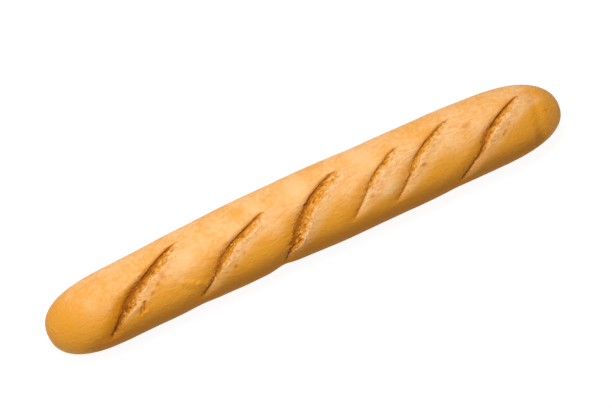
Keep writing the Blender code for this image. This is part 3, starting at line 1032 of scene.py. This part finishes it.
class StageSettings(bpy.types.PropertyGroup):
    """The floor, lights and camera."""

    floor_glow: FloatProperty(
        name="Floor glow", description="How strongly the white floor is lit from below", default=0.93,
        min=0.0,
    )
    key: FloatProperty(name="Key", description="The softbox", default=13.8, unit="POWER", min=0.0)
    fill: FloatProperty(name="Fill", description="The white room", default=0.14, min=0.0)
    heading: FloatProperty(
        name="Heading", description="Where the camera stands, round from -Y",
        default=math.radians(-25.31), subtype="ANGLE", unit="ROTATION",
    )
    height: FloatProperty(
        name="Height", description="How high the camera looks down from",
        default=math.radians(78.0), subtype="ANGLE", unit="ROTATION",
    )
    distance: FloatProperty(
        name="Distance", description="From the camera to the loaf", default=1.515,
        subtype="DISTANCE", unit="LENGTH", min=0.5,
    )
    lens: FloatProperty(name="Lens", description="Focal length in millimetres", default=100.0, min=20.0)


class BREAD_OT_loaf(bpy.types.Operator):
    """Shape the loaf and its scores, and bake its crust"""

    bl_idname = "bread.loaf"
    bl_label = "Bake the loaf"

    def execute(self, context):
        bake = context.scene.baguette_bake
        whole = ScoredCrust()
        data = mesh_of("baked_loaf", whole.points(bake.unevenness), whole.fields)
        loaf = add_piece("baked_loaf", data, CrustLook(bake).material())
        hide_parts("loaf")
        return {"FINISHED"}


FLAKE_INPUTS = (
    ("Loaf", "NodeSocketObject"), ("Density", "NodeSocketFloat"), ("Size", "NodeSocketFloat"),
    ("Seed", "NodeSocketInt"), ("Material", "NodeSocketMaterial"),
)


def flake_tree():
    """Geometry nodes that scatter small flakes where the crust's fleck field is high."""
    nodes = Nodes(bpy.data.node_groups.new("crumb_flakes", "GeometryNodeTree"))
    add = nodes.add
    face = nodes.tree.interface
    face.new_socket("Geometry", in_out="OUTPUT", socket_type="NodeSocketGeometry")
    sockets = [face.new_socket(name, in_out="INPUT", socket_type=kind) for name, kind in FLAKE_INPUTS]
    outputs = nodes.tree.nodes.new("NodeGroupInput").outputs
    loaf, density, size, seed, material = (Value(nodes, outputs[socket.name]) for socket in sockets)

    surface = add("GeometryNodeObjectInfo", {}, {"Object": loaf}, "Geometry")
    fleck = add("GeometryNodeInputNamedAttribute", {"data_type": "FLOAT"}, {"Name": "fleck"}, "Attribute")
    spread = {"Mesh": surface, "Density": fleck * density, "Seed": seed}
    points = add("GeometryNodeDistributePointsOnFaces", {}, spread, "Points")

    def any_between(low, high):
        """A random vector for each flake."""
        limits = {"Min": low, "Max": high, "Seed": seed}
        return add("FunctionNodeRandomValue", {"data_type": "FLOAT_VECTOR"}, limits, "Value")

    turn = {
        "Rotation": points.beside("Rotation"),
        "Rotate By": any_between((-0.35, -0.35, 0.0), (0.35, 0.35, 2.0 * math.pi)),
    }
    stretch = any_between((0.5, 0.3, 0.22), (1.5, 0.75, 0.5))
    flake = add("GeometryNodeInstanceOnPoints", {}, {
        "Points": points,
        "Instance": add("GeometryNodeMeshUVSphere", {}, {"Segments": 6, "Rings": 5, "Radius": 0.5}),
        "Rotation": add("FunctionNodeRotateEuler", {"space": "LOCAL"}, turn),
        "Scale": add("ShaderNodeVectorMath", {"operation": "SCALE"}, {0: stretch, "Scale": size}),
    })
    shade = add("FunctionNodeRandomValue", {}, {"Seed": seed}, 1)
    for_each = {"data_type": "FLOAT", "domain": "INSTANCE"}
    tinted = {"Geometry": flake, "Name": "tint", "Value": shade}
    flake = add("GeometryNodeStoreNamedAttribute", for_each, tinted)
    flake = add("GeometryNodeRealizeInstances", {}, {"Geometry": flake})

    lumps = add("ShaderNodeTexNoise", {}, {"Scale": FLAKE_LUMP_SCALE}, "Color")
    lumps = add("ShaderNodeVectorMath", {"operation": "SUBTRACT"}, {0: lumps, 1: (0.5, 0.5, 0.5)})
    push = add("ShaderNodeVectorMath", {"operation": "SCALE"}, {0: lumps, "Scale": FLAKE_LUMPS})
    flake = add("GeometryNodeSetPosition", {}, {"Geometry": flake, "Offset": push})
    flake = add("GeometryNodeSetMaterial", {}, {"Geometry": flake, "Material": material})
    nodes.feed(nodes.tree.nodes.new("NodeGroupOutput").inputs["Geometry"], flake)
    return nodes.tree, {socket.name: socket.identifier for socket in sockets}


class BREAD_OT_crumbs(bpy.types.Operator):
    """Scatter flakes of torn crumb over the floors of the scores"""

    bl_idname = "bread.crumbs"
    bl_label = "Scatter the crumbs"

    def execute(self, context):
        crumbs = context.scene.baguette_crumbs
        loaf = bpy.data.objects.get("baked_loaf")
        if loaf is None:
            raise RuntimeError("bake the loaf before its crumbs")
        material = crumb_material(context.scene.baguette_bake)
        tree, identifiers = flake_tree()
        holder = bpy.data.objects.new("crumb_holder", bpy.data.meshes.new("crumb_holder"))
        context.scene.collection.objects.link(holder)
        modifier = holder.modifiers.new("flakes", "NODES")
        modifier.node_group = tree
        modifier[identifiers["Loaf"]] = loaf
        modifier[identifiers["Density"]] = crumbs.density
        modifier[identifiers["Size"]] = crumbs.size
        modifier[identifiers["Seed"]] = crumbs.seed
        modifier[identifiers["Material"]] = material
        context.view_layer.update()
        evaluated = holder.evaluated_get(context.evaluated_depsgraph_get())
        data = bpy.data.meshes.new_from_object(evaluated)
        bpy.data.objects.remove(holder)
        if not data.polygons:
            raise RuntimeError("no flakes fell on the loaf")
        data.name = "crumb_flakes"
        data.shade_smooth()
        add_piece("crumb_flakes", data, material)
        return {"FINISHED"}


def add_softbox(name, place, aim, size, power):
    """A rectangular area light at place, facing aim."""
    light = bpy.data.lights.new(name, "AREA")
    light.shape = "RECTANGLE"
    light.size, light.size_y = size
    light.energy = power
    lamp = bpy.data.objects.new(name, light)
    lamp.location = place
    lamp.rotation_euler = (Vector(aim) - Vector(place)).to_track_quat("-Z", "Y").to_euler()
    bpy.context.scene.collection.objects.link(lamp)


def add_floor(glow):
    """A wide pale floor under the loaf, lit from below."""
    graph = Graph("white_floor")
    graph.dress({
        "Base Color": (0.12, 0.12, 0.12),
        "Roughness": 0.9,
        "Specular IOR Level": 0.2,
        "Emission Color": (1.0, 1.0, 1.0),
        "Emission Strength": glow,
    })
    far = FLOOR_REACH
    data = bpy.data.meshes.new("floor")
    data.from_pydata([(-far, -far, 0), (far, -far, 0), (far, far, 0), (-far, far, 0)], [], [(0, 1, 2, 3)])
    data.materials.append(graph.material)
    floor = bpy.data.objects.new("floor", data)
    bpy.context.scene.collection.objects.link(floor)


def add_camera(stage):
    """A camera that looks at the loaf from the stage's heading, height and distance."""
    back = Vector((
        math.sin(stage.heading) * math.cos(stage.height),
        -math.cos(stage.heading) * math.cos(stage.height),
        math.sin(stage.height),
    ))
    right = Vector((math.cos(stage.heading), math.sin(stage.heading), 0.0))
    camera = bpy.data.cameras.new("camera")
    camera.lens = stage.lens
    camera.sensor_width = SENSOR_WIDTH
    view = bpy.data.objects.new("camera", camera)
    bpy.context.scene.collection.objects.link(view)
    turned = Matrix((right, back.cross(right), back)).transposed().to_4x4()
    view.matrix_world = Matrix.Translation(Vector(CAMERA_AIM) + back * stage.distance) @ turned
    return view


class BREAD_OT_stage(bpy.types.Operator):
    """Set the floor, the lights and the camera"""

    bl_idname = "bread.stage"
    bl_label = "Set the stage"

    def execute(self, context):
        stage = context.scene.baguette_stage
        scene = context.scene
        add_floor(stage.floor_glow)
        room = bpy.data.worlds.new("room")
        room.use_nodes = True
        background = room.node_tree.nodes["Background"]
        background.inputs["Color"].default_value = (1.0, 1.0, 1.0, 1.0)
        background.inputs["Strength"].default_value = stage.fill
        scene.world = room
        add_softbox("key", KEY_PLACE, KEY_AIM, KEY_SIZE, stage.key)
        scene.camera = add_camera(stage)
        scene.view_settings.view_transform = "Standard"
        return {"FINISHED"}


class BREAD_PT_panel(bpy.types.Panel):
    """The baguette's settings and steps"""

    bl_idname = "BREAD_PT_panel"
    bl_label = "Baguette"
    bl_space_type = "VIEW_3D"
    bl_region_type = "UI"
    bl_category = "Baguette"

    def draw(self, context):
        steps = (
            (BREAD_OT_loaf, context.scene.baguette_bake),
            (BREAD_OT_crumbs, context.scene.baguette_crumbs),
            (BREAD_OT_stage, context.scene.baguette_stage),
        )
        for step, settings in steps:
            box = self.layout.box()
            for name in settings.__annotations__:
                box.prop(settings, name)
            box.operator(step.bl_idname)


CLASSES = (
    BakeSettings, CrumbSettings, StageSettings,
    BREAD_OT_loaf, BREAD_OT_crumbs, BREAD_OT_stage, BREAD_PT_panel,
)


def register():
    for each in CLASSES:
        bpy.utils.register_class(each)
    bpy.types.Scene.baguette_bake = PointerProperty(type=BakeSettings)
    bpy.types.Scene.baguette_crumbs = PointerProperty(type=CrumbSettings)
    bpy.types.Scene.baguette_stage = PointerProperty(type=StageSettings)


def unregister():
    del bpy.types.Scene.baguette_bake
    del bpy.types.Scene.baguette_crumbs
    del bpy.types.Scene.baguette_stage
    for each in reversed(CLASSES):
        bpy.utils.unregister_class(each)


def main():
    register()
    bpy.ops.bread.loaf()
    bpy.ops.bread.crumbs()
    bpy.ops.bread.stage()


if __name__ == "__main__":
    main()
